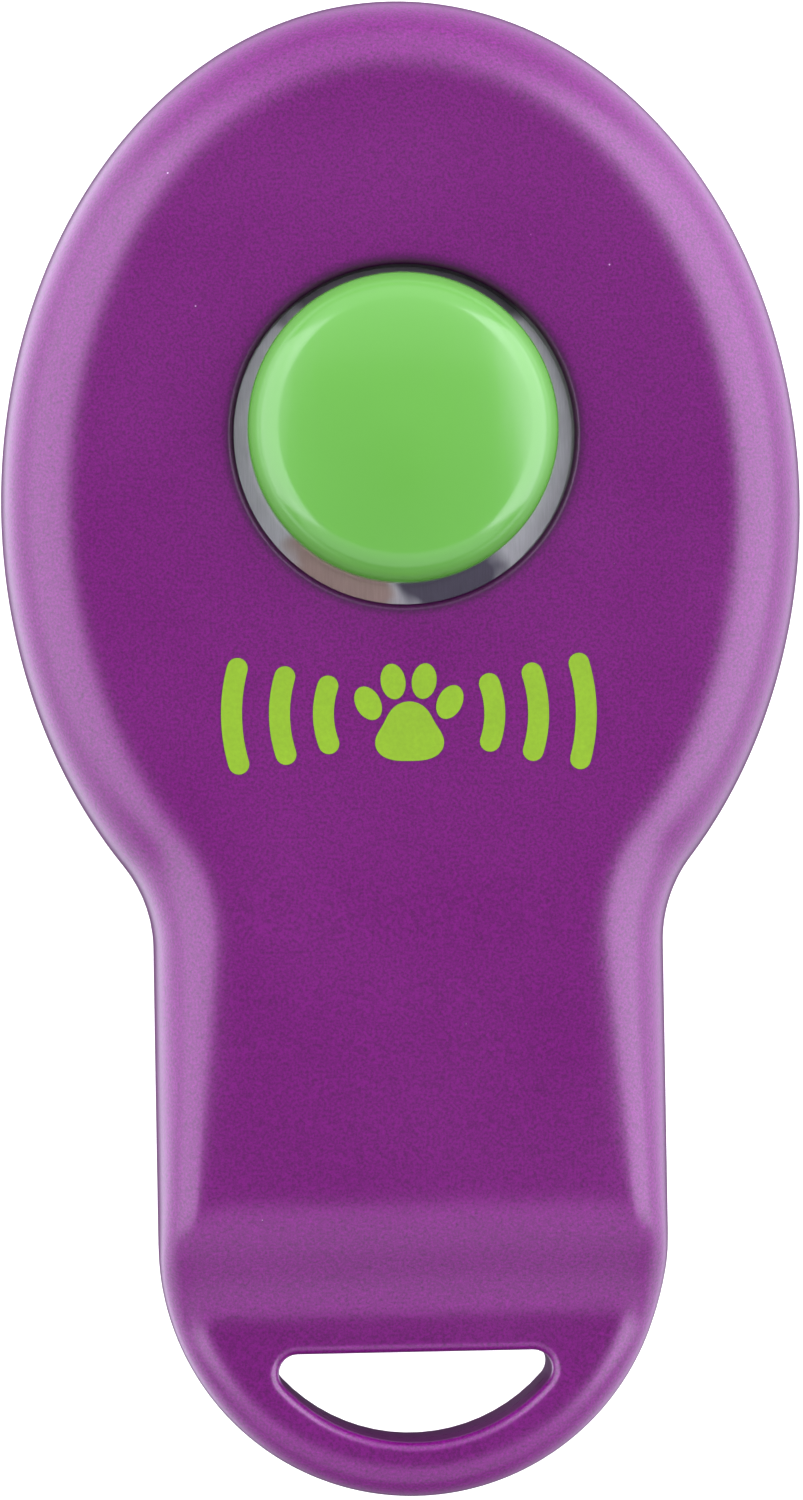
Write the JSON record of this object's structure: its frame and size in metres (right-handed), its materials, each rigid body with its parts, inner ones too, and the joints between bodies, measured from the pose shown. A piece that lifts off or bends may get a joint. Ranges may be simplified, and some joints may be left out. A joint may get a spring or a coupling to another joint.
{
  "type": "clicker trainer",
  "caption": "Hand-held training clicker: oval plastic case with a narrow slotted tail, a round push button over a snapping steel disc, and an elastic finger strap on the back.",
  "frame": {"origin": "centre of the bounding box's base, on the plane of the flat back", "axes": "+Z out of the button, away from the back; +Y along the length, from the slotted tail to the round head; +X to the right seen from above"},
  "size_m": [0.0406, 0.0762, 0.0197],
  "materials": {
    "housing": "fine spark-eroded matt, moulded in purple",
    "button": "glossy, moulded in green",
    "inner_plastic": "plain black moulding",
    "screw_steel": "bright zinc plate",
    "spring_steel": "rolled spring steel, lightly polished",
    "webbing": "woven elastic",
    "print_ink": "pad-printed lime ink"
  },
  "bodies": {
    "housing": {"top_shell": "housing", "bottom_shell": "housing", "click_disc": "spring_steel", "disc_retainer": "inner_plastic", "retainer_screws": "screw_steel", "case_screws": "screw_steel", "finger_strap": "webbing", "strap_pin_head": "screw_steel", "strap_pin_neck": "screw_steel"},
    "button": {"button_cap": "button", "button_plunger": "inner_plastic", "plunger_screw": "screw_steel", "disc_washer": "screw_steel"}
  },
  "joints": [
    {"name": "button_press", "type": "slide", "parent": "housing", "child": "button", "axis": [0, 0, -1], "range_m": [0, 0.0009], "stiffness_N_per_m": 4000, "deforming": ["click_disc"]}
  ]
}
